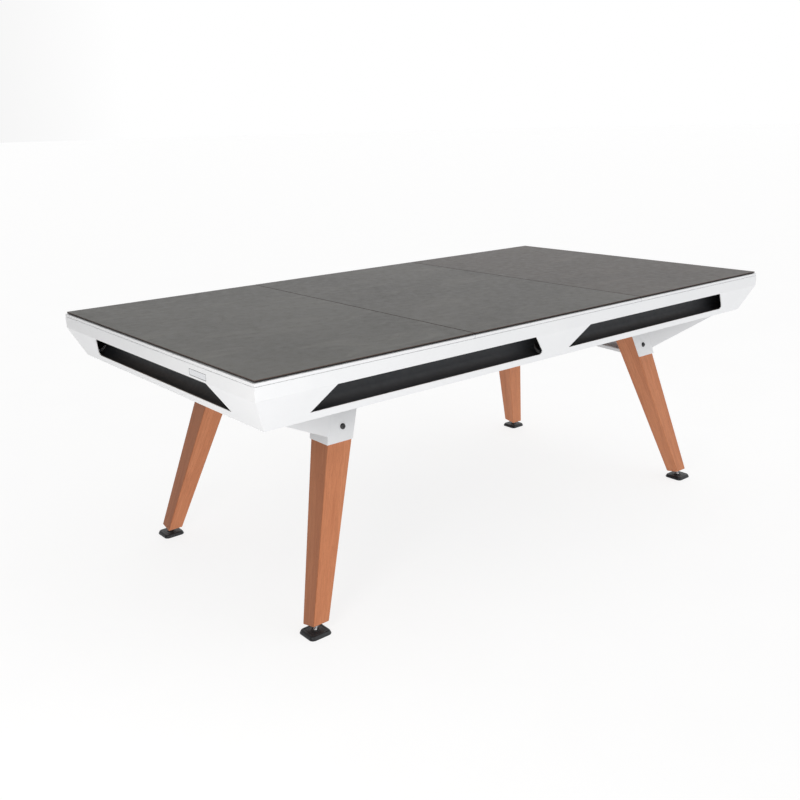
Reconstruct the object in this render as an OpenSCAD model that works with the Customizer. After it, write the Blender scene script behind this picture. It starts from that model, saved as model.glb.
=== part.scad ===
// Dining pool table: stone bed, cushions, pockets and open ball troughs in a folded
// white steel body on four splayed wooden legs, closed by three lift-off table tops.
// Frame: +Z up, origin on the floor under the middle of the table, X along the length.

/* [Body] */
// outside length of the body, mm
table_l = 2180; // [2060:10:2400]
// outside width of the body, mm
table_w = 1190; // [1150:10:1400]
// height of the rim of the body, mm
rim_z = 795; // [790:1:860]
// height of the upright band above the fold of the side panels, mm
band_h = 36; // [30:1:37]
// height of the sloping part below the fold, mm
slope_h = 92; // [90:1:100]
// how far the lower edge of a side panel stands in from the fold, mm
slope_in = 41.5; // [36:0.5:46]
// thickness of the side panel sheet, mm
sheet_t = 2.5; // [2:0.1:3]

/* [Dining tops] */
// distance from the middle to each seam between two tops, mm
seam_x = 380; // [340:5:400]
// gap between two tops at a seam, mm
seam_gap = 2; // [1.5:0.5:3]
// height of the white edge of a top above the rim, mm
top_edge_h = 9; // [7:0.5:12]
// how far a slab stands in from the edge of its tray, mm
slab_in = 4.5; // [3:0.5:8]
// thickness of a slab, mm
slab_t = 5; // [4:0.5:12]
// height of the shadow gap under a slab, mm
shadow_h = 2; // [1:0.5:3]

/* [Playing surface] */
// distance from the outside of the body to a cushion nose, mm
rail_w = 100; // [98:1:104]
// thickness of the stone bed, mm
bed_t = 25; // [19:1:30]
// depth of the cloth below the rim, mm
cloth_drop = 47; // [46:1:49]
// distance from the outside of the body to the pocket centres, mm
pocket_in = 58; // [57:0.5:59]
// radius of a pocket opening, mm
pocket_r = 45; // [44:0.5:45]

/* [Legs] */
// distance of a leg's outer face from the middle along X, near the floor, mm
leg_x = 892; // [860:1:930]
// distance of a leg's outer face from the middle along Y, near the floor, mm
leg_y = 474; // [450:1:490]
// width of a leg at its lower end, mm
leg_low_w = 53; // [46:1:60]
// lean of the outer face along X, mm per mm of height
lean_x = 0.287; // [0.26:0.005:0.31]
// lean of the outer face along Y, mm per mm of height
lean_y = 0.18; // [0.16:0.005:0.2]
// taper of a leg, growth of its width per mm of height
leg_taper = 0.064; // [0.05:0.002:0.07]
// height of the lower edge of the leg bracket, mm
bracket_z = 518; // [505:1:540]

/* [Feet] */
// side of a square foot pad, mm
pad_w = 72; // [60:1:80]
// thickness of a foot pad, mm
pad_t = 12; // [10:1:14]
// radius of a foot's screw, mm
stud_r = 5; // [5:0.5:6]

/* [Hidden] */
$fn = 64;
SX = table_l / 2;
SY = table_w / 2;
fold_z = rim_z - band_h;
low_z = fold_z - slope_h;
slope_k = slope_in / slope_h;
// distance between the sheet's two faces, measured level across the slope
level_t = sheet_t * sqrt(1 + slope_k * slope_k);
// height of the inner fold, where the two inner faces meet
fold_in_z = fold_z + (level_t - sheet_t) / slope_k;
flange_w = 75;
cloth_z = rim_z - cloth_drop;
cloth_t = 1;
bed_top = cloth_z - cloth_t;
bed_low = bed_top - bed_t;
rail_top = rim_z - 5;
rail_low = rim_z - 36;
rail_clear = 3.2;
base_in = rail_w - 25;
tongue_in = 82.5;
tongue_end = 95;
bed_in = 87.5;
wall_in = 79;
trough_t = 2.5;
trough_floor = low_z + 18;
trough_r = 25;
trough_front = 41;
pocket_skin = 3;
bowl_r = 30;
bowl_skin = 2.5;
// how far a bowl's middle stands outward of its pocket's middle
bowl_off = 3.5;
// how much wider than its chutes a bowl is
bowl_extra = 0.7;
bowl_z = bed_low + 4;
chute_l = 50;
chute_gap = 2.5;
ends_x = SX - pocket_in - chute_l - chute_gap;
ends_y = SY - pocket_in - chute_l - chute_gap;
mid_x = chute_l + chute_gap;
tray_t = 2;
tray_gap = 0.7;
tray_top = rim_z + top_edge_h;
rib_low = rim_z - 22.5;
beam_w = 60;
beam_y = 315;
beam_t = 3;
beam_l = 1970;
head_t = 5;
head_z = bed_low - 60 - head_t;
leg_top = head_z;
plate_t = 4;
stud_lean_x = lean_x + leg_taper / 2;
stud_lean_y = lean_y + leg_taper / 2;
leg_ref_z = 31;
bolt_z = 559;
bolt_r = 4.9;
head_r = 8.75;
end_tilt = atan(0.2);
leg_end_z = 29.5;
sleeve_r = 8;
sleeve_l = 34;
pivot_z = 11;
big = 3000;

white = [0.93, 0.94, 0.95];
stone = [0.36, 0.35, 0.34];
timber = [0.74, 0.44, 0.28];
dark = [0.14, 0.15, 0.16];
green = [0.13, 0.33, 0.25];
steel = [0.72, 0.72, 0.74];
black = [0.05, 0.05, 0.055];

// ---------------------------------------------------------------- placing
// move a shape drawn in the +X +Y quarter to the quarter with signs sx and sy
module quarter(sx, sy) {
    if (sx < 0 && sy < 0) rotate([0, 0, 180]) children();
    else if (sx < 0) mirror([1, 0, 0]) children();
    else if (sy < 0) mirror([0, 1, 0]) children();
    else children();
}

// profile drawn as (distance in from the outside, height), run along X at the front
module run_front(len) {
    translate([-len / 2, -SY, 0]) rotate([90, 0, 90]) linear_extrude(len) children();
}

// the same profile run along Y at the left end
module run_left(len) {
    translate([-SX, len / 2, 0]) rotate([90, 0, 0]) linear_extrude(len) children();
}

// wedge of space nearest one long side, cut at 45 degrees in the corners
module front_wedge() {
    d = 160;
    translate([0, 0, 600]) linear_extrude(300)
        polygon([[-SX, -SY], [SX, -SY], [SX - d, -SY + d], [-SX + d, -SY + d]]);
}

module left_wedge() {
    d = 160;
    translate([0, 0, 600]) linear_extrude(300)
        polygon([[-SX, -SY], [-SX + d, -SY + d], [-SX + d, SY - d], [-SX, SY]]);
}

// ---------------------------------------------------------------- side panels
module apron_profile() {
    inner = [[sheet_t, rim_z], [sheet_t, fold_in_z],
        [level_t + (fold_z - low_z - sheet_t) * slope_k, low_z + sheet_t],
        [flange_w, low_z + sheet_t], [flange_w, low_z]];
    polygon(concat([[0, rim_z]], inner, [[slope_in, low_z], [0, fold_z]]));
}

// window outline, u along the panel from its sharp lower corner, v up
module window_shape(len) {
    rise = fold_z - 1.5 - win_z;
    r = 8;
    // both ends rise at 45 degrees; the far lower corner is rounded
    c = len - r / tan(22.5);
    s = r * sin(45);
    polygon([[0, 0], [c, 0], [c + s, r + s], [len - rise, rise], [rise, rise]]);
    translate([c, r]) circle(r);
}

win_z = low_z + 23;
win_a = 920;
win_b = 60;
win_c = 55;
win_e = 420;
badge_t = 0.8;

module window_front(x, len) {
    translate([x, -SY + 60, win_z]) rotate([90, 0, 0]) linear_extrude(120) window_shape(len);
}

module window_left(y, len) {
    translate([-SX - 60, y, win_z]) rotate([90, 0, 90]) linear_extrude(120) window_shape(len);
}

module apron_long() {
    difference() {
        intersection() {
            run_front(table_l) apron_profile();
            front_wedge();
        }
        window_front(-win_a, win_a - win_b);
        window_front(win_c, win_a - win_c);
    }
}

module apron_short() {
    difference() {
        intersection() {
            run_left(table_w) apron_profile();
            left_wedge();
        }
        window_left(-win_e, 2 * win_e + 8);
    }
}

module apron_front() { color(white) apron_long(); }
module apron_back() { color(white) rotate([0, 0, 180]) apron_long(); }
module apron_left() {
    color(white) difference() {
        apron_short();
        badge_block();
    }
}
module apron_right() { color(white) rotate([0, 0, 180]) apron_short(); }

// plain name plate, let in flush on the upright band of the left end
module badge_block() {
    translate([-SX, -358, rim_z - 31]) cube([badge_t, 90, 18]);
}

module badge_plate() { color(steel) badge_block(); }

// ---------------------------------------------------------------- dining tops
tray_x = SX - 0.4;
tray_y = SY - 0.4;
slab_x = tray_x - slab_in;
slab_y = tray_y - slab_in;

// folded pan, open downwards, with two hat ribs that reach down between the cushions
module tray(x0, x1) {
    rib_l = 2 * (SY - rail_w - 22);
    rib_top = tray_top - tray_t;
    difference() {
        translate([x0, -tray_y, rim_z + tray_gap])
            cube([x1 - x0, 2 * tray_y, top_edge_h - tray_gap]);
        translate([x0 + tray_t, -tray_y + tray_t, rim_z - 1])
            cube([x1 - x0 - 2 * tray_t, 2 * (tray_y - tray_t), top_edge_h - tray_t + 1]);
    }
    for (f = [0.27, 0.73]) {
        xm = max(-SX + 150, min(SX - 150, x0 + (x1 - x0) * f));
        translate([xm - 20, -rib_l / 2, rib_low]) cube([3, rib_l, rib_top - rib_low]);
        translate([xm + 17, -rib_l / 2, rib_low]) cube([3, rib_l, rib_top - rib_low]);
        translate([xm - 20, -rib_l / 2, rib_low]) cube([40, rib_l, 2.5]);
    }
}

module slab(x0, x1) {
    foot = 6;
    translate([x0 + foot, -slab_y + foot, tray_top])
        cube([x1 - x0 - 2 * foot, 2 * (slab_y - foot), shadow_h]);
    translate([x0, -slab_y, tray_top + shadow_h]) cube([x1 - x0, 2 * slab_y, slab_t]);
}

module top_tray_left() { color(white) tray(-tray_x, -seam_x - seam_gap / 2); }
module top_tray_middle() { color(white) tray(-seam_x + seam_gap / 2, seam_x - seam_gap / 2); }
module top_tray_right() { color(white) tray(seam_x + seam_gap / 2, tray_x); }
module top_slab_left() { color(stone) slab(-slab_x, -seam_x - seam_gap / 2 - 0.5); }
module top_slab_middle() {
    color(stone) slab(-seam_x + seam_gap / 2 + 0.5, seam_x - seam_gap / 2 - 0.5);
}
module top_slab_right() { color(stone) slab(seam_x + seam_gap / 2 + 0.5, slab_x); }

// round rubber buffers on the rails that carry the trays
module tray_bumpers() {
    h = tray_top - tray_t - rail_top;
    color(black) for (s = [-1, 1]) {
        for (x = [-900, -640, -430, -330, 330, 430, 640, 900])
            translate([x, s * (SY - 40), rail_top]) cylinder(h = h, r = 8);
        for (y = [-300, 300]) translate([s * (SX - 40), y, rail_top]) cylinder(h = h, r = 8);
    }
}

// ---------------------------------------------------------------- bed and rails
px = SX - pocket_in;
py = SY - pocket_in;
nose_x = SX - rail_w;
nose_y = SY - rail_w;
mouth_c = 81;
mouth_m = 65;
jaw_c = 32;
jaw_m = 6.2;

module pocket_circles(r) {
    for (x = [-px, 0, px]) for (y = [-py, py]) translate([x, y]) circle(r);
}

module bed_slate() {
    color([0.42, 0.43, 0.44]) translate([0, 0, bed_low]) linear_extrude(bed_t) difference() {
        square([2 * (SX - bed_in), 2 * (SY - bed_in)], center = true);
        pocket_circles(pocket_r + pocket_skin + 1.5);
    }
}

module bed_cloth() {
    color(green) translate([0, 0, bed_top]) linear_extrude(cloth_t) difference() {
        square([2 * (SX - bed_in), 2 * (SY - bed_in)], center = true);
        pocket_circles(pocket_r + pocket_skin + 1.5);
    }
}

// pocket throats seen from above, with the splayed jaws
module throats() {
    b = 25;
    for (x = [-1, 1]) for (y = [-1, 1]) quarter(x, y)
        polygon([[nose_x - mouth_c - 9, nose_y - 7], [nose_x - mouth_c + jaw_c, nose_y + b],
            [px - 50, nose_y + 57], [px, py], [nose_x + 57, py - 50],
            [nose_x + b, nose_y - mouth_c + jaw_c], [nose_x - 7, nose_y - mouth_c - 9]]);
    for (y = [-1, 1]) quarter(1, y)
        polygon([[-mouth_m - 1.7, nose_y - 7], [-mouth_m + jaw_m, nose_y + b],
            [-pocket_r - pocket_skin - 0.5, py + 10], [pocket_r + pocket_skin + 0.5, py + 10],
            [mouth_m - jaw_m, nose_y + b], [mouth_m + 1.7, nose_y - 7]]);
}

module rail_profile() {
    polygon([[rail_clear, rail_low], [rail_clear, rail_top], [base_in, rail_top],
        [base_in, rail_low + 2], [tongue_in + 3, rail_low + 2], [tongue_end, cloth_z + 6],
        [tongue_end, cloth_z], [tongue_in, cloth_z], [tongue_in, rail_low]]);
}

module throat_cut() {
    translate([0, 0, 700]) linear_extrude(120) {
        throats();
        pocket_circles(pocket_r + pocket_skin + 1);
    }
}

module rail_long() {
    difference() {
        intersection() {
            run_front(table_l - 6.4) rail_profile();
            front_wedge();
        }
        throat_cut();
    }
}

module rail_short() {
    difference() {
        intersection() {
            run_left(table_w - 6.4) rail_profile();
            left_wedge();
        }
        throat_cut();
    }
}

module rail_front() { color(white) rail_long(); }
module rail_back() { color(white) rotate([0, 0, 180]) rail_long(); }
module rail_left() { color(white) rail_short(); }
module rail_right() { color(white) rotate([0, 0, 180]) rail_short(); }

module cushion_profile() {
    polygon([[base_in, rail_low + 2.5], [base_in, rail_top], [rail_w - 3, rail_top - 2.5],
        [rail_w, rail_top - 5], [rail_w, rail_top - 7.5]]);
}

// long cushion, front side, left half
module cushion_half() {
    color(green) intersection() {
        run_front(table_l) cushion_profile();
        translate([0, 0, 700]) linear_extrude(120)
            polygon([[-nose_x + mouth_c, -nose_y], [-mouth_m, -nose_y],
                [-mouth_m + jaw_m, -nose_y - 25], [-nose_x + mouth_c - jaw_c, -nose_y - 25]]);
    }
}

module cushion_end() {
    color(green) intersection() {
        run_left(table_w) cushion_profile();
        translate([0, 0, 700]) linear_extrude(120)
            polygon([[-nose_x, nose_y - mouth_c], [-nose_x, -nose_y + mouth_c],
                [-nose_x - 25, -nose_y + mouth_c - jaw_c], [-nose_x - 25, nose_y - mouth_c + jaw_c]]);
    }
}

module cushion_front_left() { cushion_half(); }
module cushion_front_right() { quarter(-1, 1) cushion_half(); }
module cushion_back_left() { quarter(1, -1) cushion_half(); }
module cushion_back_right() { quarter(-1, -1) cushion_half(); }
module cushion_left() { cushion_end(); }
module cushion_right() { quarter(-1, 1) cushion_end(); }

// ---------------------------------------------------------------- pockets and troughs
// solid outline of a pocket: collar, cone, bowl and chutes, grown by g
module pocket_solid(bx, by, g, along_x, along_y) {
    top = rail_top - 1;
    cone_low = bowl_z + 2;
    cone_top = cone_low + 20;
    translate([0, 0, cone_top]) cylinder(h = top - cone_top, r = pocket_r + g);
    translate([0, 0, cone_low]) cylinder(h = 20, r1 = bowl_r + g + 0.5, r2 = pocket_r + g);
    r = bowl_r + (g > 0 ? bowl_skin : 0);
    translate([bx, by, bowl_z]) sphere(r = r + bowl_extra);
    over = g > 0 ? 0 : 2;
    for (s = along_x) translate([bx, by, bowl_z]) rotate([0, 90 * s, 0])
        cylinder(h = chute_l + abs(bx) + over, r = r);
    for (s = along_y) translate([bx, by, bowl_z]) rotate([-90 * s, 0, 0])
        cylinder(h = chute_l + abs(by) + over, r = r);
}

// corner pocket in the +X +Y quarter
module pocket_corner() {
    color(black) translate([px, py, 0]) difference() {
        pocket_solid(bowl_off, bowl_off, pocket_skin, [-1], [-1]);
        pocket_solid(bowl_off, bowl_off, 0, [-1], [-1]);
        // open mouth towards the bed, over the cloth
        translate([0, 0, cloth_z]) rotate([0, 0, 225]) translate([-12, -60, 0])
            cube([80, 120, 60]);
        translate([0, 0, rail_top - 1.01]) cylinder(h = 5, r = pocket_r);
    }
}

// middle pocket on the +Y side
module pocket_middle() {
    color(black) translate([0, py, 0]) difference() {
        pocket_solid(0, bowl_off, pocket_skin, [-1, 1], []);
        pocket_solid(0, bowl_off, 0, [-1, 1], []);
        translate([-60, -80, cloth_z]) cube([120, 92, 60]);
        translate([0, 0, rail_top - 1.01]) cylinder(h = 5, r = pocket_r);
    }
}

module pocket_front_left() { quarter(-1, -1) pocket_corner(); }
module pocket_front_middle() { quarter(1, -1) pocket_middle(); }
module pocket_front_right() { quarter(1, -1) pocket_corner(); }
module pocket_back_left() { quarter(-1, 1) pocket_corner(); }
module pocket_back_middle() { pocket_middle(); }
module pocket_back_right() { pocket_corner(); }

// trough section: low front lip, floor, rounded rise and upright back wall
module trough_profile() {
    top = rail_low - 0.5;
    low = trough_floor - trough_t;
    turn_in = wall_in - trough_r;
    turn_z = trough_floor + trough_r;
    translate([trough_front - trough_t, low])
        square([turn_in - trough_front + trough_t, trough_t]);
    translate([trough_front - trough_t, low]) square([trough_t, trough_t + 4]);
    translate([turn_in, turn_z]) intersection() {
        difference() {
            circle(trough_r + trough_t);
            circle(trough_r);
        }
        translate([0, -2 * trough_r]) square([2 * trough_r, 2 * trough_r]);
    }
    translate([wall_in, turn_z]) square([trough_t, top - turn_z]);
    translate([wall_in - 12, top - trough_t]) square([12 + trough_t, trough_t]);
}

module trough_half() {
    color(dark) translate([(ends_x + mid_x) / -2, 0, 0])
        run_front(ends_x - mid_x) trough_profile();
}

module trough_end() { color(dark) run_left(2 * ends_y) trough_profile(); }

module trough_front_left() { trough_half(); }
module trough_front_right() { quarter(-1, 1) trough_half(); }
module trough_back_left() { quarter(1, -1) trough_half(); }
module trough_back_right() { quarter(-1, -1) trough_half(); }
module trough_left() { trough_end(); }
module trough_right() { quarter(-1, 1) trough_end(); }

// ---------------------------------------------------------------- chassis
module chassis_beam() {
    color(dark) translate([-beam_l / 2, beam_y - beam_w / 2, bed_low - 60]) difference() {
        cube([beam_l, beam_w, 60]);
        translate([-1, beam_t, beam_t]) cube([beam_l + 2, beam_w - 2 * beam_t, 60 - 2 * beam_t]);
    }
}

module chassis_beam_front() { quarter(1, -1) chassis_beam(); }
module chassis_beam_back() { chassis_beam(); }

module chassis_cross_members() {
    w = 40;
    len = 2 * (beam_y - beam_w / 2);
    color(dark) for (x = [-965, -482, 0, 482, 965])
        translate([x - w / 2, -len / 2, bed_low - 60]) difference() {
            cube([w, len, 60]);
            translate([beam_t, -1, beam_t]) cube([w - 2 * beam_t, len + 2, 60 - 2 * beam_t]);
        }
}

// brackets that reach out from the chassis to the lower flange of the side panels
module outrigger(inner, outer, w) {
    z0 = low_z + sheet_t;
    tip = outer - inner - 34;
    color(dark) translate([-w / 2, inner, 0]) rotate([90, 0, 90]) linear_extrude(w)
        polygon([[0, z0], [outer - inner, z0], [outer - inner, z0 + 6], [tip, z0 + 6],
            [tip - 20, bed_low], [0, bed_low]]);
}

module apron_outriggers() {
    for (s = [-1, 1]) {
        quarter(1, s) for (x = [-900, -450, 0, 450, 900])
            translate([x, 0, 0]) outrigger(beam_y + beam_w / 2, SY - 48, 40);
        quarter(s, 1) for (y = [-180, 180])
            translate([0, y, 0]) rotate([0, 0, -90]) outrigger(beam_l / 2, SX - 48, 40);
    }
}

// ---------------------------------------------------------------- legs
function out_x(z) = leg_x - lean_x * (z - leg_ref_z);
function in_x(z) = leg_x - leg_low_w - (lean_x + leg_taper) * (z - leg_ref_z);
function out_y(z) = leg_y - lean_y * (z - leg_ref_z);
function in_y(z) = leg_y - leg_low_w - (lean_y + leg_taper) * (z - leg_ref_z);
function mid_x_at(z) = (out_x(z) + in_x(z)) / 2;
function mid_y_at(z) = (out_y(z) + in_y(z)) / 2;

// slab between two leaning lines, seen along Y
module span_x(a0, b0, a1, b1, z0, z1) {
    translate([0, big / 2, 0]) rotate([90, 0, 0]) linear_extrude(big)
        polygon([[a0, z0], [b0, z0], [b1, z1], [a1, z1]]);
}

// slab between two leaning lines, seen along X
module span_y(a0, b0, a1, b1, z0, z1) {
    translate([-big / 2, 0, 0]) rotate([90, 0, 90]) linear_extrude(big)
        polygon([[a0, z0], [b0, z0], [b1, z1], [a1, z1]]);
}

// place a shape on the leaning axis of the leg, its Z along that axis, at height z
module on_axis(z) {
    tilt = atan(sqrt(stud_lean_x * stud_lean_x + stud_lean_y * stud_lean_y));
    turn = atan2(-stud_lean_y, -stud_lean_x);
    translate([mid_x_at(z), mid_y_at(z), z]) rotate([0, 0, turn]) rotate([0, tilt, 0])
        children();
}

// place a shape on the outer Y face of the leg, its Z out of the face
module on_plate(dz, off) {
    translate([mid_x_at(bolt_z) - 1, out_y(bolt_z), bolt_z]) rotate([-90 + atan(lean_y), 0, 0])
        translate([0, 0, off]) children();
}

module leg() {
    z0 = 14;
    color(timber) difference() {
        intersection() {
            span_x(in_x(z0), out_x(z0), in_x(leg_top), out_x(leg_top), z0, leg_top);
            span_y(in_y(z0), out_y(z0), in_y(leg_top), out_y(leg_top), z0, leg_top);
        }
        // end cut square to the leg as seen from the end of the table
        translate([leg_x, leg_y - 27, leg_end_z]) rotate([end_tilt, 0, 0])
            translate([-200, -200, -100]) cube([400, 400, 100]);
        on_axis(leg_end_z) translate([0, 0, -20]) cylinder(h = sleeve_l + 26, r = sleeve_r);
        on_plate(0, -62) cylinder(h = 70, r = bolt_r + 0.35);
        translate([mid_x_at(leg_top), mid_y_at(leg_top), leg_top - 62])
            cylinder(h = 70, r = bolt_r + 0.35);
    }
}

module leg_front_left() { quarter(-1, -1) leg(); }
module leg_front_right() { quarter(1, -1) leg(); }
module leg_back_left() { quarter(-1, 1) leg(); }
module leg_back_right() { leg(); }

// folded bracket: plate and return on the two outer faces, corner fin and head plate
module leg_bracket() {
    z0 = bracket_z;
    z1 = leg_top;
    zb = bed_low - 60;
    fin_a = atan(0.56);
    fin_rise = 0.4475;
    fin_run = (low_z - 3 - (z0 + 23)) / fin_rise - 4;
    color(white) difference() {
        union() {
            intersection() {
                span_x(in_x(z0), out_x(z0) + plate_t, in_x(zb), out_x(zb) + plate_t, z0, zb);
                span_y(out_y(z0), out_y(z0) + plate_t, out_y(zb), out_y(zb) + plate_t, z0, zb);
            }
            intersection() {
                span_x(out_x(z0), out_x(z0) + plate_t, out_x(zb), out_x(zb) + plate_t, z0, zb);
                span_y(in_y(z0), out_y(z0) + plate_t, in_y(zb), out_y(zb) + plate_t, z0, zb);
            }
            intersection() {
                span_x(in_x(z1) - 6, out_x(z1) + plate_t, in_x(zb) - 6, out_x(zb) + plate_t, z1, zb);
                span_y(in_y(z1) - 6, out_y(z1) + plate_t, in_y(zb) - 6, out_y(zb) + plate_t, z1, zb);
            }
            // fin towards the corner of the body, with a level flange along its top
            translate([out_x(z0) + 1, out_y(z0) + 1, 0]) rotate([0, 0, fin_a]) {
                rotate([90, 0, 0]) translate([0, 0, -plate_t / 2]) linear_extrude(plate_t)
                    polygon([[-0.8, z0], [-2.8, z0 + 23], [fin_run, low_z - 3], [fin_run, low_z],
                        [-49.8, low_z]]);
                translate([20, -15, low_z - 3]) cube([fin_run - 20, 30, 3]);
            }
        }
        on_plate(0, -10) cylinder(h = 40, r = bolt_r + 0.35);
        translate([mid_x_at(leg_top), mid_y_at(leg_top), leg_top - 10])
            cylinder(h = 40, r = bolt_r + 0.35);
    }
}

module leg_bracket_front_left() { quarter(-1, -1) leg_bracket(); }
module leg_bracket_front_right() { quarter(1, -1) leg_bracket(); }
module leg_bracket_back_left() { quarter(-1, 1) leg_bracket(); }
module leg_bracket_back_right() { leg_bracket(); }

// folded channel between the two legs of one end, open towards the middle
module leg_crossbeam() {
    z0 = bracket_z;
    z1 = leg_top;
    rise = 14;
    t = 3;
    x0 = mid_x_at(z0) - 36;
    x1 = mid_x_at(z0) + 10;
    y0 = in_y(z0);
    y1 = in_y(z1);
    color(white) intersection() {
        union() {
            translate([x1 - t, 0, 0]) rotate([90, 0, 90]) linear_extrude(t)
                polygon([[-y0, z0], [0, z0 + rise], [y0, z0], [y0, z1], [-y0, z1]]);
            translate([x0, 0, 0]) rotate([90, 0, 90]) linear_extrude(x1 - x0)
                polygon([[-y0, z0], [0, z0 + rise], [y0, z0], [y0, z0 + t], [0, z0 + rise + t],
                    [-y0, z0 + t]]);
            translate([x0, 0, 0]) rotate([90, 0, 90]) linear_extrude(t)
                polygon([[-y0, z0], [0, z0 + rise], [y0, z0], [y0, z0 + 12],
                    [0, z0 + rise + 12], [-y0, z0 + 12]]);
            translate([x0, -y0, z1 - t]) cube([x1 - x0, 2 * y0, t]);
        }
        span_y(-y0, y0, -y1, y1, z0, z1);
    }
}

module leg_crossbeam_left() { quarter(-1, 1) leg_crossbeam(); }
module leg_crossbeam_right() { leg_crossbeam(); }

// button-head screws: one through each plate, one down through each head plate
module bolt() {
    difference() {
        union() {
            cylinder(h = 4.6, r1 = head_r, r2 = head_r - 3.2);
            translate([0, 0, -54]) cylinder(h = 54, r = bolt_r);
        }
        translate([0, 0, 2]) cylinder(h = 4, r = 3);
    }
}

module leg_bolts() {
    color(black) for (sx = [-1, 1]) for (sy = [-1, 1]) quarter(sx, sy) {
        on_plate(0, plate_t) bolt();
        translate([mid_x_at(leg_top), mid_y_at(leg_top), leg_top - 50]) cylinder(h = 54, r = bolt_r);
    }
}

// ---------------------------------------------------------------- feet
module sleeve() {
    on_axis(leg_end_z) translate([0, 0, 4]) difference() {
        cylinder(h = sleeve_l, r = sleeve_r);
        translate([0, 0, -1]) cylinder(h = sleeve_l + 2, r = stud_r + 0.05);
    }
}

module foot_sleeves() {
    color(steel) for (sx = [-1, 1]) for (sy = [-1, 1]) quarter(sx, sy) sleeve();
}

// screw with a ball end that sits in the pad
module foot_stud() {
    color(steel) on_axis(pivot_z) {
        sphere(r = 6);
        cylinder(h = 52, r = stud_r);
        translate([0, 0, 9.5]) cylinder(h = 3.5, r = 8);
    }
}

module foot_stud_front_left() { quarter(-1, -1) foot_stud(); }
module foot_stud_front_right() { quarter(1, -1) foot_stud(); }
module foot_stud_back_left() { quarter(-1, 1) foot_stud(); }
module foot_stud_back_right() { foot_stud(); }

module pad_plan(w, c) {
    h = w / 2;
    polygon([[-h + c, -h], [h - c, -h], [h, -h + c], [h, h - c], [h - c, h], [-h + c, h],
        [-h, h - c], [-h, -h + c]]);
}

module foot_pad() {
    color(black) translate([mid_x_at(pivot_z), mid_y_at(pivot_z), 0]) difference() {
        union() {
            linear_extrude(pad_t - 7) pad_plan(pad_w, 11);
            linear_extrude(pad_t - 3) pad_plan(pad_w - 4, 10);
            linear_extrude(pad_t) pad_plan(pad_w - 10, 9);
            translate([0, 0, pad_t - 0.5]) cylinder(h = 3, r1 = 15, r2 = 12);
        }
        translate([0, 0, pivot_z]) sphere(r = 6.05);
        translate([0, 0, pivot_z]) cylinder(h = 10, r1 = 5.4, r2 = 12);
    }
}

module foot_pad_front_left() { quarter(-1, -1) foot_pad(); }
module foot_pad_front_right() { quarter(1, -1) foot_pad(); }
module foot_pad_back_left() { quarter(-1, 1) foot_pad(); }
module foot_pad_back_right() { foot_pad(); }

apron_front();
apron_back();
apron_left();
apron_right();
top_slab_left();
top_slab_middle();
top_slab_right();
top_tray_left();
top_tray_middle();
top_tray_right();
tray_bumpers();
bed_slate();
bed_cloth();
rail_front();
rail_back();
rail_left();
rail_right();
cushion_front_left();
cushion_front_right();
cushion_back_left();
cushion_back_right();
cushion_left();
cushion_right();
pocket_front_left();
pocket_front_middle();
pocket_front_right();
pocket_back_left();
pocket_back_middle();
pocket_back_right();
trough_front_left();
trough_front_right();
trough_back_left();
trough_back_right();
trough_left();
trough_right();
chassis_beam_front();
chassis_beam_back();
chassis_cross_members();
apron_outriggers();
leg_bracket_front_left();
leg_bracket_front_right();
leg_bracket_back_left();
leg_bracket_back_right();
leg_crossbeam_left();
leg_crossbeam_right();
leg_front_left();
leg_front_right();
leg_back_left();
leg_back_right();
foot_stud_front_left();
foot_stud_front_right();
foot_stud_back_left();
foot_stud_back_right();
foot_pad_front_left();
foot_pad_front_right();
foot_pad_back_left();
foot_pad_back_right();
leg_bolts();
foot_sleeves();
badge_plate();
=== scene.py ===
import math

import bmesh
import bpy
from mathutils import Matrix, Vector


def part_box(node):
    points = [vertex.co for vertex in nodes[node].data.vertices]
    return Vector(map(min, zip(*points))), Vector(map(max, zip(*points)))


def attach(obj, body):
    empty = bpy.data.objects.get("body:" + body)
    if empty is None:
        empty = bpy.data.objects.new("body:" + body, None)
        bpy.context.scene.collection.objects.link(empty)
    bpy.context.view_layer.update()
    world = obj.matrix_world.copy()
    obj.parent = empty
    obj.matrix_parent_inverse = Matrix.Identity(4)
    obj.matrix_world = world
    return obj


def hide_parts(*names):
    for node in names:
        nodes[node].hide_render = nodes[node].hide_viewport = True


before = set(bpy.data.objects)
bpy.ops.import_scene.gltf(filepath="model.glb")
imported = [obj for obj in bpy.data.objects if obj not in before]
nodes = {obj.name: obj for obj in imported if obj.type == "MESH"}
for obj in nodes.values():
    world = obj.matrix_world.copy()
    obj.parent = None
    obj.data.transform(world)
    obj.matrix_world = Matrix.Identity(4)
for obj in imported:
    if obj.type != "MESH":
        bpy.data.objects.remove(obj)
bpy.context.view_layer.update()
scene = bpy.context.scene
scene.view_settings.view_transform = "Standard"
scene.view_settings.look = "None"

CORNERS = {"front_left": (-1, -1), "front_right": (1, -1),
           "back_left": (-1, 1), "back_right": (1, 1)}
MM = 0.001
SLAB_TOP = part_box("top_slab_left")[1].z
SLAB_SHADE_BAND = (2.6 * MM, 1.4 * MM)  # below the face, where the dark band of painted shade ends and fades
ROUNDING = {"panel": 0.9 * MM, "tray": 0.6 * MM, "slab": 0.7 * MM, "bracket": 0.9 * MM,
            "crossbeam": 0.8 * MM, "rail": 1.0 * MM, "cushion": 1.6 * MM, "trough": 0.5 * MM,
            "bumper": 0.6 * MM, "plate": 0.2 * MM, "leg": 3.0 * MM}


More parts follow.
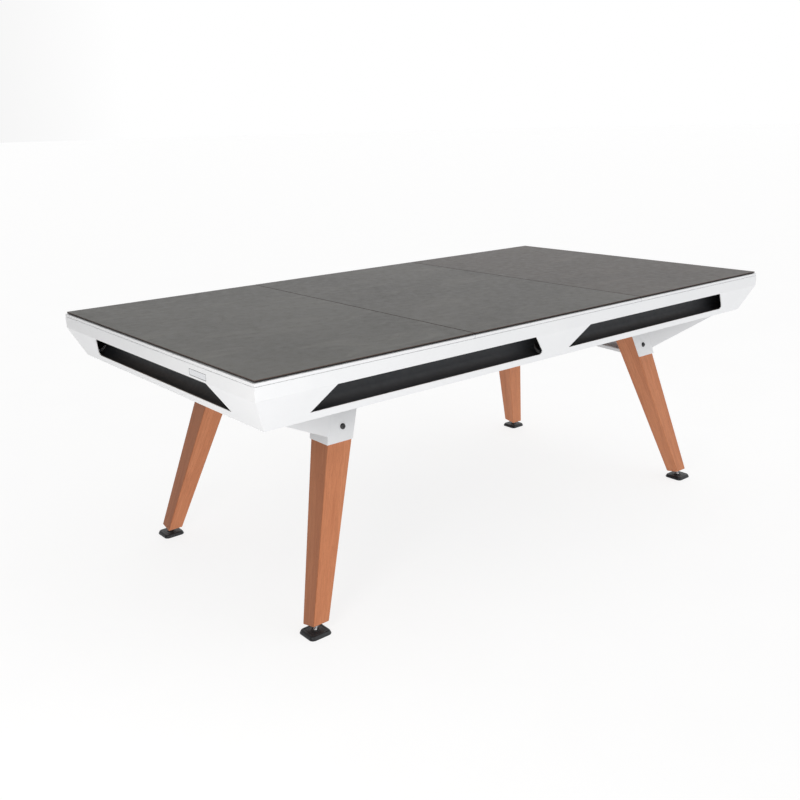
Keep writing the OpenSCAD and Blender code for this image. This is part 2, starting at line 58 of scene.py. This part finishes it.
# ------------------------------------------------------------------ materials
class Finish:
    """A node material, built up from a Principled shader."""

    def __init__(self, name, **values):
        self.mat = bpy.data.materials.new(name)
        self.mat.use_nodes = True
        self.tree = self.mat.node_tree
        self.tree.nodes.clear()
        self.out = self.tree.nodes.new("ShaderNodeOutputMaterial")
        self.bsdf = self.tree.nodes.new("ShaderNodeBsdfPrincipled")
        self.join(self.bsdf.outputs[0], self.out.inputs[0])
        for key, value in values.items():
            self.bsdf.inputs[key.replace("_", " ")].default_value = value
        self.where = None
        self.height = None

    def join(self, a, b):
        self.tree.links.new(a, b)

    def node(self, kind, inputs=None, **props):
        n = self.tree.nodes.new("ShaderNode" + kind)
        for key, value in props.items():
            setattr(n, key, value)
        for key, value in (inputs or {}).items():
            if isinstance(value, bpy.types.NodeSocket):
                self.join(value, n.inputs[key])
            else:
                n.inputs[key].default_value = value
        return n

    def place(self, scale=(1, 1, 1), turn=(0, 0, 0)):
        if self.where is None:
            self.where = self.node("TexCoord").outputs["Object"]
        return self.node("Mapping", {"Vector": self.where, "Scale": scale,
                                     "Rotation": turn}).outputs[0]

    def noise(self, scale, detail=4.0, rough=0.55, stretch=(1, 1, 1), twist=0.0, at=None):
        return self.node("TexNoise", {"Vector": at or self.place(stretch), "Scale": scale,
                                      "Detail": detail, "Roughness": rough,
                                      "Distortion": twist}).outputs[0]

    def ramp(self, fac, stops):
        n = self.node("ValToRGB", {"Fac": fac})
        ramp = n.color_ramp
        while len(ramp.elements) < len(stops):
            ramp.elements.new(0.5)
        for e, (at, value) in zip(ramp.elements, stops):
            e.position = at
            e.color = (*value, 1) if hasattr(value, "__len__") else (value, value, value, 1)
        return n.outputs[0]

    def math(self, how, a, b=0.0, c=0.0):
        return self.node("Math", {0: a, 1: b, 2: c}, operation=how).outputs[0]

    def mix(self, fac, a, b, how="MIX"):
        n = self.node("Mix", {0: fac, 6: a, 7: b}, data_type="RGBA", blend_type=how)
        return n.outputs[2]

    def span(self, fac, low, high, start=0.3, stop=0.7):
        return self.node("MapRange", {0: fac, 1: start, 2: stop, 3: low, 4: high}).outputs[0]

    def color(self, socket):
        self.join(socket, self.bsdf.inputs["Base Color"])

    def rough(self, socket):
        self.join(socket, self.bsdf.inputs["Roughness"])

    def bump(self, height, strength, depth):
        n = self.node("Bump", {"Height": height, "Strength": strength, "Distance": depth})
        if self.height is not None:
            self.join(self.height, n.inputs["Normal"])
        self.height = n.outputs[0]
        self.join(self.height, self.bsdf.inputs["Normal"])


def powder_coat(name, low, high, rough, peel=0.22):
    """Baked powder coat: a faint orange peel, a fine grit and a slow change of tone."""
    f = Finish(name, Specular_IOR_Level=0.42)
    tone = f.noise(5, 3)
    f.color(f.ramp(tone, [(0.3, low), (0.7, high)]))
    f.rough(f.span(f.noise(60, 4), rough - 0.05, rough + 0.06))
    f.bump(f.noise(420, 2, 0.45), peel, 0.0003)
    f.bump(f.noise(2600, 1, 0.4), peel * 0.5, 0.0001)
    return f.mat


def slab_stone(name, turn, dark, light):
    """Sintered stone face: clouds, mottling, drifting pale veils and fine speckle."""
    f = Finish(name, Specular_IOR_Level=0.4)
    at = f.place((1, 1, 1), (0, 0, turn))
    cloud = f.noise(1.7, 7, 0.62, twist=0.5, at=at)
    veil = f.noise(5.5, 9, 0.68, twist=1.6, at=f.place((0.55, 1.5, 1), (0, 0, turn + 0.5)))
    mottle = f.noise(38, 8, 0.7, at=at)
    grain = f.noise(420, 3, 0.6, at=at)
    body = f.ramp(cloud, [(0.28, dark), (0.72, light)])
    pale = tuple(min(1, c * 1.75) for c in light)
    deep = tuple(c * 0.62 for c in dark)
    body = f.mix(f.span(veil, 0.0, 0.55, 0.52, 0.74), body, (*pale, 1))
    body = f.mix(f.span(mottle, 0.55, 0.0, 0.34, 0.54), body, (*deep, 1))
    body = f.mix(f.span(grain, 0.0, 0.4, 0.55, 0.75), body, (*pale, 1))
    f.color(body)
    f.rough(f.span(mottle, 0.4, 0.56))
    f.bump(mottle, 0.3, 0.0006)
    f.bump(grain, 0.25, 0.0002)
    return f.mat


def slab_edge(name):
    """Sawn edge of the slab: clay brown below the face, and a dark band of painted shade under it.
    """
    f = Finish(name, Specular_IOR_Level=0.3)
    clay = f.ramp(f.noise(300, 5, 0.7), [(0.3, (0.05, 0.032, 0.026)), (0.7, (0.13, 0.082, 0.064))])
    split = f.node("SeparateXYZ", {0: f.place()})
    low = f.span(split.outputs[2], 1.0, 0.0, SLAB_TOP - SLAB_SHADE_BAND[0],
                 SLAB_TOP - SLAB_SHADE_BAND[1])
    # painted shade: the lower part of the edge is mixed to near black, in place of the shadow of the
    # gap under the slab
    f.color(f.mix(low, clay, (0.012, 0.011, 0.012, 1)))
    f.rough(f.span(f.noise(150, 3), 0.6, 0.8))
    f.bump(f.noise(900, 2), 0.4, 0.0002)
    return f.mat


def timber(name, tones, along=(1, 1, 0.045), pores=0.55, side_shade=1.0):
    """Sawn and oiled timber: growth bands, long fibres and short dark pores on one axis."""
    low = 0.42
    f = Finish(name, Specular_IOR_Level=0.35)
    slow = f.place(along)
    bands = f.noise(38, 3, 0.5, twist=0.4, at=slow)
    rings = f.math("PINGPONG", f.math("MULTIPLY", bands, 6.0), 0.5)
    fibre = f.noise(520, 5, 0.7, at=slow)
    pore = f.noise(1500, 2, 0.6, at=f.place((1, 1, along[2] * 0.6)))
    patch = f.noise(7, 3, 0.5, at=f.place((1, 1, 0.25)))
    dark, mid, light = tones
    body = f.ramp(bands, [(0.25, mid), (0.75, light)])
    body = f.mix(f.span(rings, 0.22, 0.0, 0.0, 0.3), body, (*dark, 1))
    body = f.mix(f.span(fibre, 0.45, 0.0, 0.32, 0.58), body, (*dark, 1))
    body = f.mix(f.span(pore, pores, 0.0, 0.28, 0.38), body, tuple(c * 0.45 for c in dark) + (1,))
    body = f.mix(f.span(patch, 0.0, 0.35, 0.45, 0.7), body, (*light, 1))
    if side_shade < 1:
        # painted shade: the sides that face the ends of the table are darkened by their normal,
        # standing in for shade on them
        split = f.node("SeparateXYZ", {0: f.node("NewGeometry").outputs["Normal"]})
        facing = f.math("ABSOLUTE", split.outputs[0])
        shade = f.mix(f.span(facing, 0.0, 1.0, 0.5, 0.8), (1, 1, 1, 1), (side_shade,) * 3 + (1,))
        body = f.mix(1.0, body, shade, "MULTIPLY")
    f.color(body)
    f.rough(f.span(fibre, low, low + 0.16))
    f.bump(fibre, 0.22, 0.0004)
    f.bump(pore, 0.3, 0.0003)
    return f.mat


def moulded(name, low, high, rough, grain=0.35, scale=1500, specular=0.4):
    """Moulded plastic with an etched, faintly glossy grain."""
    f = Finish(name, Specular_IOR_Level=specular)
    f.color(f.ramp(f.noise(22, 4), [(0.3, low), (0.7, high)]))
    f.rough(f.span(f.noise(90, 3), rough - 0.06, rough + 0.07))
    f.bump(f.noise(scale, 2, 0.5), grain, 0.00015)
    return f.mat


def metal(name, low, high, rough, stretch=(1, 1, 30), scale=700):
    """Plated or brushed metal with short streaks."""
    f = Finish(name, Metallic=1.0)
    streak = f.noise(scale, 4, 0.6, stretch)
    f.color(f.ramp(streak, [(0.3, low), (0.7, high)]))
    f.rough(f.span(streak, rough - 0.08, rough + 0.1))
    f.bump(streak, 0.15, 0.0001)
    return f.mat


def billiard_cloth(name, dark, light):
    """Napped worsted cloth: a tight twill under short fuzz."""
    f = Finish(name, Specular_IOR_Level=0.12, Sheen_Weight=0.35, Sheen_Roughness=0.45)
    f.bsdf.inputs["Sheen Tint"].default_value = (*light, 1)
    twill = f.node("TexWave", {"Vector": f.place((1, 1, 1), (0, 0, 0.78)), "Scale": 700,
                               "Distortion": 1.2, "Detail": 2}, wave_type="BANDS").outputs[1]
    fuzz = f.noise(900, 5, 0.7)
    patch = f.noise(9, 4, 0.6)
    body = f.ramp(fuzz, [(0.3, dark), (0.7, light)])
    body = f.mix(f.span(patch, 0.0, 0.25, 0.4, 0.7), body, (*dark, 1))
    body = f.mix(f.math("MULTIPLY", twill, 0.2), body, (*dark, 1))
    f.color(body)
    f.rough(f.span(fuzz, 0.85, 0.98))
    f.bump(twill, 0.2, 0.0002)
    f.bump(fuzz, 0.4, 0.0003)
    return f.mat


def slate_stone(name):
    """Ground slate: layered grey with pale scuffs."""
    f = Finish(name, Specular_IOR_Level=0.35)
    layer = f.noise(30, 7, 0.65, (1, 1, 9))
    scuff = f.noise(60, 6, 0.7, (1, 0.3, 1))
    body = f.ramp(layer, [(0.3, (0.05, 0.054, 0.06)), (0.7, (0.12, 0.125, 0.135))])
    f.color(f.mix(f.span(scuff, 0.0, 0.4, 0.55, 0.75), body, (0.22, 0.23, 0.24, 1)))
    f.rough(f.span(scuff, 0.6, 0.8))
    f.bump(layer, 0.4, 0.0006)
    return f.mat


OAK = ((0.33, 0.095, 0.035), (0.54, 0.19, 0.08), (0.66, 0.26, 0.12))
BEECH = ((0.36, 0.21, 0.12), (0.60, 0.42, 0.27), (0.70, 0.52, 0.36))
MAT = {
    "coat": powder_coat("white_powder_coat", (0.845, 0.855, 0.87), (0.875, 0.882, 0.895), 0.42),
    "dark_coat": powder_coat("black_powder_coat", (0.018, 0.018, 0.02), (0.028, 0.028, 0.03),
                             0.5, 0.4),
    "slab_left": slab_stone("slab_stone_left", 0.3, (0.046, 0.044, 0.037), (0.088, 0.085, 0.074)),
    "slab_middle": slab_stone("slab_stone_middle", 2.1, (0.046, 0.043, 0.037),
                              (0.085, 0.080, 0.070)),
    "slab_right": slab_stone("slab_stone_right", 4.4, (0.048, 0.039, 0.033), (0.078, 0.065, 0.055)),
    "slab_edge": slab_edge("slab_sawn_edge"),
    # the left legs carry stronger painted shade on their end-facing sides than the right legs
    "leg_left": timber("leg_timber_left", OAK, side_shade=0.75),
    "leg_right": timber("leg_timber_right", OAK, side_shade=0.98),
    "beech_x": timber("rail_beech_long", BEECH, (0.045, 1, 1), 0.3),
    "beech_y": timber("rail_beech_short", BEECH, (1, 0.045, 1), 0.3),
    "trough": moulded("trough_plastic", (0.031, 0.035, 0.041), (0.038, 0.042, 0.049), 0.58),
    "pocket": moulded("pocket_plastic", (0.012, 0.012, 0.013), (0.02, 0.02, 0.022), 0.42),
    "pad": moulded("pad_plastic", (0.014, 0.015, 0.017), (0.024, 0.026, 0.03), 0.4, 0.5),
    "rubber": moulded("bumper_rubber", (0.01, 0.01, 0.01), (0.018, 0.018, 0.018), 0.8),
    "bolt": moulded("black_oxide_steel", (0.008, 0.008, 0.009), (0.016, 0.016, 0.018), 0.3,
                    0.12, 900, 0.7),
    "steel": metal("zinc_plate", (0.62, 0.63, 0.65), (0.78, 0.79, 0.8), 0.3),
    "plain_steel": metal("turned_steel", (0.45, 0.46, 0.48), (0.6, 0.61, 0.62), 0.35),
    "badge": metal("brushed_aluminium", (0.7, 0.71, 0.73), (0.84, 0.845, 0.86), 0.32,
                   (1, 0.02, 1), 900),
    "cloth": billiard_cloth("billiard_cloth", (0.02, 0.085, 0.06), (0.045, 0.16, 0.115)),
    "slate": slate_stone("ground_slate"),
}


# ------------------------------------------------------------------ mesh tools
def cad_copy(node, inside=None):
    """The node's faces as welded flat faces, in the frame or in the frame of a matrix."""
    bm = bmesh.new()
    bm.from_mesh(nodes[node].data)
    bmesh.ops.remove_doubles(bm, verts=bm.verts, dist=0.00001)
    bmesh.ops.dissolve_limit(bm, angle_limit=math.radians(0.4), verts=bm.verts,
                             edges=bm.edges, delimit=set())
    bmesh.ops.recalc_face_normals(bm, faces=bm.faces)
    if inside is not None:
        bmesh.ops.transform(bm, matrix=inside.inverted(), verts=bm.verts)
    return bm


def slice_across(bm, axis, reach, apart=5 * MM):
    """Cuts across a panel at the corners of its openings, so that no face holds a hole."""
    cuts = []
    for mark in sorted({round(v.co[axis], 5) for v in bm.verts if abs(v.co[axis]) < reach}):
        if not cuts or mark - cuts[-1] > apart:
            cuts.append(mark)
    side = Vector([1 if i == axis else 0 for i in range(3)])
    for mark in cuts:
        bmesh.ops.bisect_plane(bm, geom=list(bm.verts) + list(bm.edges) + list(bm.faces),
                               dist=0.00001, plane_co=side * mark, plane_no=side)


def ease(bm, width, segments=2, keep=None, least=0.35):
    """Rounds every edge that turns by more than least radians, except those that keep names."""
    bm.normal_update()
    edges = [e for e in bm.edges if len(e.link_faces) == 2 and e.calc_face_angle(0) > least
             and not (keep and keep(e))]
    bmesh.ops.bevel(bm, geom=edges, offset=width, offset_type="OFFSET", segments=segments,
                    profile=0.5, affect="EDGES", clamp_overlap=True, material=-1)


def piece(name, bm, material, body, replaced=(), at=None, sharp=0.7, weighted=True):
    mesh = bpy.data.meshes.new(name)
    bm.normal_update()
    for f in bm.faces:
        f.smooth = True
    for e in bm.edges:
        e.smooth = not (len(e.link_faces) != 2 or e.calc_face_angle(0) > sharp)
    bm.to_mesh(mesh)
    bm.free()
    obj = bpy.data.objects.new(name, mesh)
    scene.collection.objects.link(obj)
    for m in material if isinstance(material, (list, tuple)) else [material]:
        mesh.materials.append(MAT[m])
    if at is not None:
        obj.matrix_world = at
    if weighted:
        mod = obj.modifiers.new("even_normals", "WEIGHTED_NORMAL")
        mod.keep_sharp = True
        mod.weight = 60
    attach(obj, body)
    if replaced:
        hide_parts(*replaced)
    return obj


def loft(bm, rings, close_start=True, close_end=True):
    """Skins a list of rings that hold the same number of points."""
    made = [[bm.verts.new(p) for p in ring] for ring in rings]
    for a, b in zip(made, made[1:]):
        n = len(a)
        for i in range(n):
            bm.faces.new((a[i], a[(i + 1) % n], b[(i + 1) % n], b[i]))
    if close_start:
        bm.faces.new(list(reversed(made[0])))
    if close_end:
        bm.faces.new(made[-1])
    return made


def circle(r, z, n=48, turn=0.0):
    return [Vector((r * math.cos(turn + 2 * math.pi * i / n),
                    r * math.sin(turn + 2 * math.pi * i / n), z)) for i in range(n)]


def hexagon(r, z, n=48):
    """n points round a hexagon whose flats are at distance r."""
    pts = []
    for i in range(n):
        a = 2 * math.pi * i / n
        off = (a + math.pi / 6) % (math.pi / 3) - math.pi / 6
        d = r / math.cos(off)
        pts.append(Vector((d * math.cos(a), d * math.sin(a), z)))
    return pts


def round_square(half, r, z, n=64):
    """n points round a square with straight sides and corners of radius r."""
    pts = []
    for i in range(n):
        k = n // 4
        q, j = divmod(i, k)
        corner = Vector(((1, 1), (-1, 1), (-1, -1), (1, -1))[q]) * (half - r)
        turn = math.pi / 2 * q + math.pi / 2 * j / (k - 1)
        pts.append(Vector((corner.x + r * math.cos(turn), corner.y + r * math.sin(turn), z)))
    return pts


def on_axis(direction, origin):
    """A frame at origin whose Z points along direction."""
    m = Vector(direction).normalized().to_track_quat("Z", "Y").to_matrix().to_4x4()
    m.translation = Vector(origin)
    return m


# ------------------------------------------------------------------ body panels
def on_mitre(e):
    """True for an edge of a corner joint between two side panels."""
    return any(abs(abs(f.normal.x) - abs(f.normal.y)) < 0.05 and abs(f.normal.z) < 0.1
               and abs(f.normal.x) > 0.3 for f in e.link_faces)


PANEL_REACH = {0: 1.0, 1: 0.505}  # how far out along X or Y the windows' corners lie

for side in ("front", "back", "left", "right"):
    node = "apron_" + side
    bm = cad_copy(node)
    along = 0 if side in ("front", "back") else 1
    slice_across(bm, along, PANEL_REACH[along])
    ease(bm, ROUNDING["panel"], 3, on_mitre)
    piece("side_panel_" + side, bm, "coat", "table", [node])

for part in ("left", "middle", "right"):
    node = "top_tray_" + part
    bm = cad_copy(node)
    ease(bm, ROUNDING["tray"], 2)
    piece("tray_" + part, bm, "coat", "top_" + part, [node])

    node = "top_slab_" + part
    bm = cad_copy(node)
    ease(bm, ROUNDING["slab"], 3)
    bm.normal_update()
    for f in bm.faces:
        f.material_index = 0 if f.normal.z > 0.5 else 1
    piece("slab_" + part, bm, ["slab_" + part, "slab_edge"], "top_" + part, [node])

# ------------------------------------------------------------------ legs and brackets
LEG_OUT = (0.287, 0.18)  # slope of a leg's outer faces across X and Y
LEG_TAPER = 0.064  # how much steeper the inner faces are
LEG_FOOT_OUT = (0.892, 0.474)  # outer faces at the foot, above which the slopes run
LEG_THICK = 0.053
LEAN_X, LEAN_Y = (slope + LEG_TAPER / 2 for slope in LEG_OUT)
LEG_RISE = 0.626
LEG_TOP_BOLT_Z = 0.661
BOLT_AT = (0.69607, 0.37896, 0.559)
BOLT_LEAN = 0.18
BOLT_R = 4.9 * MM
BOLT_L = 54 * MM

for corner, (sx, sy) in CORNERS.items():
    node = "leg_" + corner
    low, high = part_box(node)
    axis = Vector((-sx * LEAN_X, -sy * LEAN_Y, 1))
    foot = Vector(((low.x if sx < 0 else high.x), (low.y if sy < 0 else high.y), low.z))
    frame_at = on_axis(axis, foot)
    bm = cad_copy(node, frame_at)
    long_edges = [e for e in bm.edges if e.calc_length() > 0.3 and e.calc_face_angle(0) > 0.5]
    end_edges = [e for e in bm.edges if 0.03 < e.calc_length() < 0.12
                 and e.calc_face_angle(0) > 0.5 and e not in long_edges]
    bmesh.ops.bevel(bm, geom=long_edges + end_edges, offset=ROUNDING["leg"], segments=4, profile=0.5,
                    affect="EDGES", clamp_overlap=True)
    piece("timber_leg_" + corner, bm, "leg_left" if sx < 0 else "leg_right", "table",
          [node], frame_at)

    node = "leg_bracket_" + corner
    bm = cad_copy(node)
    ease(bm, ROUNDING["bracket"], 2)
    piece("bracket_" + corner, bm, "coat", "table", [node])

for side in ("left", "right"):
    node = "leg_crossbeam_" + side
    bm = cad_copy(node)
    ease(bm, ROUNDING["crossbeam"], 2)
    piece("crossbeam_" + side, bm, "coat", "table", [node])


def socket_screw(bm, m):
    """Button-head screw with a hexagon socket, its head's seat at z = 0."""
    head = 8.75 * MM
    rings = [circle(BOLT_R, -BOLT_L), circle(BOLT_R, 0), circle(head * 0.97, 0),
             circle(head, 0.35 * MM), circle(head * 0.985, 1.2 * MM), circle(head * 0.92, 2.2 * MM),
             circle(head * 0.82, 3.2 * MM), circle(head * 0.69, 4.0 * MM),
             circle(head * 0.56, 4.45 * MM), circle(head * 0.5, 4.55 * MM),
             hexagon(3.1 * MM, 4.55 * MM), hexagon(2.95 * MM, 4.3 * MM),
             hexagon(2.9 * MM, 1.6 * MM), hexagon(1.2 * MM, 1.0 * MM)]
    start = len(bm.verts)
    loft(bm, rings)
    bm.verts.ensure_lookup_table()
    bmesh.ops.transform(bm, matrix=m, verts=bm.verts[start:])


bm = bmesh.new()
for corner, (sx, sy) in CORNERS.items():
    out = Vector((0, sy, BOLT_LEAN)).normalized()
    seat = Vector((sx * BOLT_AT[0], sy * BOLT_AT[1], BOLT_AT[2])) + out * 4 * MM
    socket_screw(bm, on_axis(out, seat))
    outer = [foot - slope * LEG_RISE for foot, slope in zip(LEG_FOOT_OUT, LEG_OUT)]
    inner = [foot - LEG_THICK - (slope + LEG_TAPER) * LEG_RISE
             for foot, slope in zip(LEG_FOOT_OUT, LEG_OUT)]
    top_at = [sx * (outer[0] + inner[0]) / 2, sy * (outer[1] + inner[1]) / 2, LEG_TOP_BOLT_Z]
    start = len(bm.verts)
    loft(bm, [circle(BOLT_R, -BOLT_L), circle(BOLT_R, -0.4 * MM), circle(4.5 * MM, 0),
              hexagon(2.6 * MM, 0), hexagon(2.5 * MM, -2.5 * MM)])
    bm.verts.ensure_lookup_table()
    bmesh.ops.transform(bm, matrix=Matrix.Translation(top_at), verts=bm.verts[start:])
piece("bracket_screws", bm, "bolt", "table", ["leg_bolts"], weighted=False)


# ------------------------------------------------------------------ feet
PAD_CORNER = 14 * MM
PIVOT_Z = 11 * MM
STUD_R = 5.0 * MM
BALL_R = 6 * MM


def screw_thread(bm, r, z0, z1, pitch=1.5 * MM, depth=0.75 * MM, around=24, rows=6):
    """Rolled thread: the radius rises and falls along a helix."""
    count = int((z1 - z0) / pitch * rows)
    rings = []
    for k in range(count + 1):
        z = z0 + (z1 - z0) * k / count
        ring = []
        for i in range(around):
            a = 2 * math.pi * i / around
            t = (z / pitch - i / around) % 1.0
            fade = min(1.0, (z1 - z) / (1.5 * pitch), (z - z0) / (0.5 * pitch))
            rr = r - depth * fade * abs(2 * t - 1)
            ring.append(Vector((rr * math.cos(a), rr * math.sin(a), z)))
        rings.append(ring)
    loft(bm, rings)


for corner, (sx, sy) in CORNERS.items():
    low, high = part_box("foot_pad_" + corner)
    centre = Vector(((low.x + high.x) / 2, (low.y + high.y) / 2, 0))
    half = (high.x - low.x) / 2
    axis = Vector((-sx * LEAN_X, -sy * LEAN_Y, 1))
    pivot = centre + Vector((0, 0, PIVOT_Z))

    bm = bmesh.new()
    outline = [(0.0, 1.2), (0.5, 0.35), (1.2, 0.0), (3.2, 0.2), (4.6, 0.8), (8.4, 2.4),
               (10.2, 3.4), (11.2, 4.6), (11.8, 6.2), (12.0, 8.2), (12.0, 10.2), (11.5, 10.9),
               (11.5, 12.4), (12.0, 13.1)]
    rings = [round_square(half - inset * MM, PAD_CORNER - min(inset, 9) * MM * 0.6, z * MM)
             for z, inset in outline]
    n = len(rings[0])
    rings += [circle(r * MM, z * MM, n, math.pi / n) for r, z in
              ((17.5, 12.1), (15.0, 12.4), (13.8, 13.0), (13.0, 14.0), (12.2, 14.5), (7.6, 14.5),
               (7.0, 13.6), (6.6, 12.0))]
    loft(bm, rings)
    piece("moulded_pad_" + corner, bm, "pad", "pad_" + corner,
          ["foot_pad_" + corner], Matrix.Translation(centre), 1.0)

    bm = bmesh.new()
    screw_thread(bm, STUD_R, 4.0 * MM, 52 * MM)
    # ball end
    rings = [circle(BALL_R * math.cos(a), BALL_R * math.sin(a), 24)
             for a in [math.radians(d) for d in (-85, -65, -45, -25, -5, 15, 32)]]
    rings.append(circle(4.4 * MM, 4.4 * MM, 24))
    loft(bm, rings)
    # chamfered hexagon nut
    rings = [circle(6.4 * MM, 9.5 * MM, 48), hexagon(6.9 * MM, 9.9 * MM),
             hexagon(6.9 * MM, 12.6 * MM), circle(6.4 * MM, 13.0 * MM, 48)]
    loft(bm, rings)
    bmesh.ops.recalc_face_normals(bm, faces=bm.faces)
    piece("levelling_screw_" + corner, bm, "steel", "screw_" + corner,
          ["foot_stud_" + corner], on_axis(axis, pivot), 0.6, False)

# ------------------------------------------------------------------ playing field
for side, mat in (("front", "beech_x"), ("back", "beech_x"), ("left", "beech_y"),
                  ("right", "beech_y")):
    node = "rail_" + side
    bm = cad_copy(node)
    ease(bm, ROUNDING["rail"], 2, on_mitre)
    piece("rail_timber_" + side, bm, mat, "table", [node])

for name in ("front_left", "front_right", "back_left", "back_right", "left", "right"):
    node = "cushion_" + name
    bm = cad_copy(node)
    ease(bm, ROUNDING["cushion"], 4)
    obj = piece("covered_cushion_" + name, bm, "cloth", "table", [node])

bm = cad_copy("bed_cloth")
cloth = piece("bed_cloth_sheet", bm, "cloth", "table", ["bed_cloth"])
low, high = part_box("bed_cloth")

for name in ("front_left", "front_middle", "front_right", "back_left", "back_middle",
             "back_right"):
    node = "pocket_" + name
    bm = cad_copy(node)
    piece("pocket_cup_" + name, bm, "pocket", "table", [node], sharp=0.5)

for name in ("front_left", "front_right", "back_left", "back_right", "left", "right"):
    node = "trough_" + name
    bm = cad_copy(node)
    ease(bm, ROUNDING["trough"], 2)
    piece("ball_trough_" + name, bm, "trough", "table", [node], sharp=0.5)

bm = cad_copy("tray_bumpers")
ease(bm, ROUNDING["bumper"], 2)
piece("bumper_discs", bm, "rubber", "table", ["tray_bumpers"])

bm = cad_copy("badge_plate")
front = max(bm.faces, key=lambda f: -f.normal.x * f.calc_area())
# a dark rim round a plain, slightly sunk face
bmesh.ops.inset_region(bm, faces=[front], thickness=1.8 * MM, depth=0)
bm.normal_update()
for f in bm.faces:
    f.material_index = 0 if f is front else 1
bmesh.ops.inset_region(bm, faces=[front], thickness=0.3 * MM, depth=-0.25 * MM)
ease(bm, ROUNDING["plate"], 2)
piece("blank_plate", bm, ["badge", "bolt"], "table", ["badge_plate"])

# CAD nodes whose shape stays as it is
for node, mat in (("bed_slate", "slate"), ("chassis_beam_front", "dark_coat"),
                  ("chassis_beam_back", "dark_coat"), ("chassis_cross_members", "dark_coat"),
                  ("apron_outriggers", "dark_coat"), ("foot_sleeves", "plain_steel")):
    data = nodes[node].data
    data.materials.clear()
    data.materials.append(MAT[mat])


# ------------------------------------------------------------------ stage, light, camera
def floor_finish():
    f = Finish("pale_floor", Roughness=0.9, Specular_IOR_Level=0.1)
    f.color(f.ramp(f.noise(3, 3), [(0.3, (0.24, 0.24, 0.24)), (0.7, (0.25, 0.25, 0.25))]))
    glow = f.bsdf.inputs
    glow["Emission Color"].default_value = (1, 1, 1, 1)
    glow["Emission Strength"].default_value = 0.79
    return f.mat


MAT["floor"] = floor_finish()
mesh = bpy.data.meshes.new("floor")
bm = bmesh.new()
bmesh.ops.create_grid(bm, x_segments=8, y_segments=8, size=150)
bm.to_mesh(mesh)
bm.free()
floor = bpy.data.objects.new("floor", mesh)
mesh.materials.append(MAT["floor"])
scene.collection.objects.link(floor)

world = bpy.data.worlds.new("studio")
scene.world = world
world.use_nodes = True
tree = world.node_tree
way = tree.nodes.new("ShaderNodeTexCoord").outputs["Generated"]
split = tree.nodes.new("ShaderNodeSeparateXYZ")
tree.links.new(way, split.inputs[0])
wall = tree.nodes.new("ShaderNodeValToRGB")
wall.color_ramp.elements[0].color = (0.06, 0.05, 0.043, 1)
wall.color_ramp.elements[0].position = 0.0
wall.color_ramp.elements[1].color = (1.0, 1.0, 1.0, 1)
wall.color_ramp.elements[1].position = 0.70
half = tree.nodes.new("ShaderNodeMapRange")
half.inputs["From Min"].default_value = -1.0
tree.links.new(split.outputs[0], half.inputs[0])
tree.links.new(half.outputs[0], wall.inputs[0])
tree.links.new(wall.outputs[0], tree.nodes["Background"].inputs[0])


def softbox(name, at, look, size, power, tint=(1, 1, 1)):
    data = bpy.data.lights.new(name, "AREA")
    data.shape = "RECTANGLE"
    data.size, data.size_y = size
    data.energy = power
    data.color = tint
    lamp = bpy.data.objects.new(name, data)
    lamp.matrix_world = on_axis(Vector(at) - Vector(look), at)
    scene.collection.objects.link(lamp)
    return lamp


softbox("key_front", (1.2, -5.0, 2.6), (0, 0, 0.7), (4.0, 2.4), 19, (0.985, 0.995, 1.0))
softbox("side_front", (-2.15, -1.25, 1.25), (-1.0, -0.45, 0.74), (0.7, 0.7), 9.5, (1, 0.98, 0.955))

CAM_AT = Vector((-2.11527, -2.40107, 1.37238))
YAW, PITCH, ROLL = (math.radians(a) for a in (39.99337, -16.88403, -1.31746))
aim = Vector((math.sin(YAW) * math.cos(PITCH), math.cos(YAW) * math.cos(PITCH), math.sin(PITCH)))
right = Vector((math.cos(YAW), -math.sin(YAW), 0))
up = right.cross(aim)
cam_x = math.cos(ROLL) * right + math.sin(ROLL) * up
cam_y = -math.sin(ROLL) * right + math.cos(ROLL) * up
cam = bpy.data.objects.new("camera", bpy.data.cameras.new("camera"))
cam.data.sensor_width = 36
cam.data.lens = 41.236
cam.data.shift_x = -0.02054
cam.data.shift_y = 0.00248
cam.data.clip_end = 200
m = Matrix((cam_x, cam_y, -aim)).transposed().to_4x4()
m.translation = CAM_AT
cam.matrix_world = m
scene.collection.objects.link(cam)
scene.camera = cam

bpy.context.view_layer.update()
